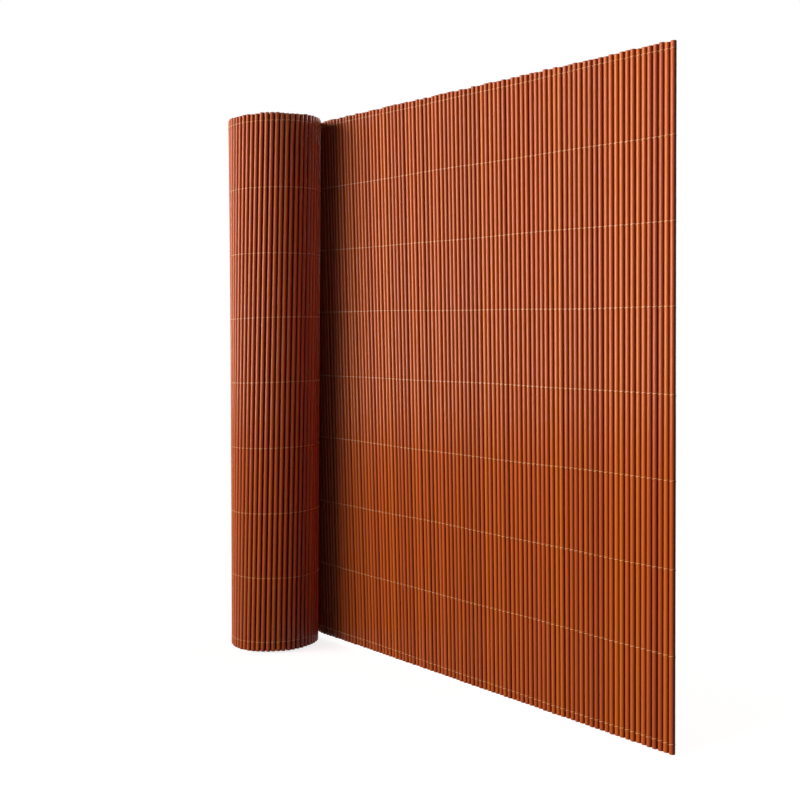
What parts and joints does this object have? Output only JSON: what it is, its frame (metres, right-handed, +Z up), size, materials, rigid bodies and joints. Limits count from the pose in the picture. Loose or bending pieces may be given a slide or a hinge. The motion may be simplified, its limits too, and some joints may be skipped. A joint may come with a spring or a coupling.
{
  "type": "wicker screen",
  "caption": "Garden screen of round plastic rods tied side by side with rows of thread, standing on edge, flat along most of its length and still rolled up at the other end.",
  "frame": {"origin": "on the ground, in the middle of the screen's box", "axes": "+X from the roll along the flat length to its free end, +Y to the back of the flat length, away from the roll's bulge, +Z up along the rods"},
  "size_m": [0.9524, 0.184, 1],
  "materials": {
    "rods": "satin orange-brown plastic, a little redder or yellower from rod to rod",
    "thread": "pale twisted thread"
  },
  "bodies": {
    "root": {"unrolled_rods": "rods", "rolled_rods": "rods", "tie_thread_1": "thread", "tie_thread_2": "thread", "tie_thread_3": "thread", "tie_thread_4": "thread", "tie_thread_5": "thread", "tie_thread_6": "thread", "tie_thread_7": "thread", "tie_thread_8": "thread", "tie_thread_9": "thread"}
  },
  "joints": []
}
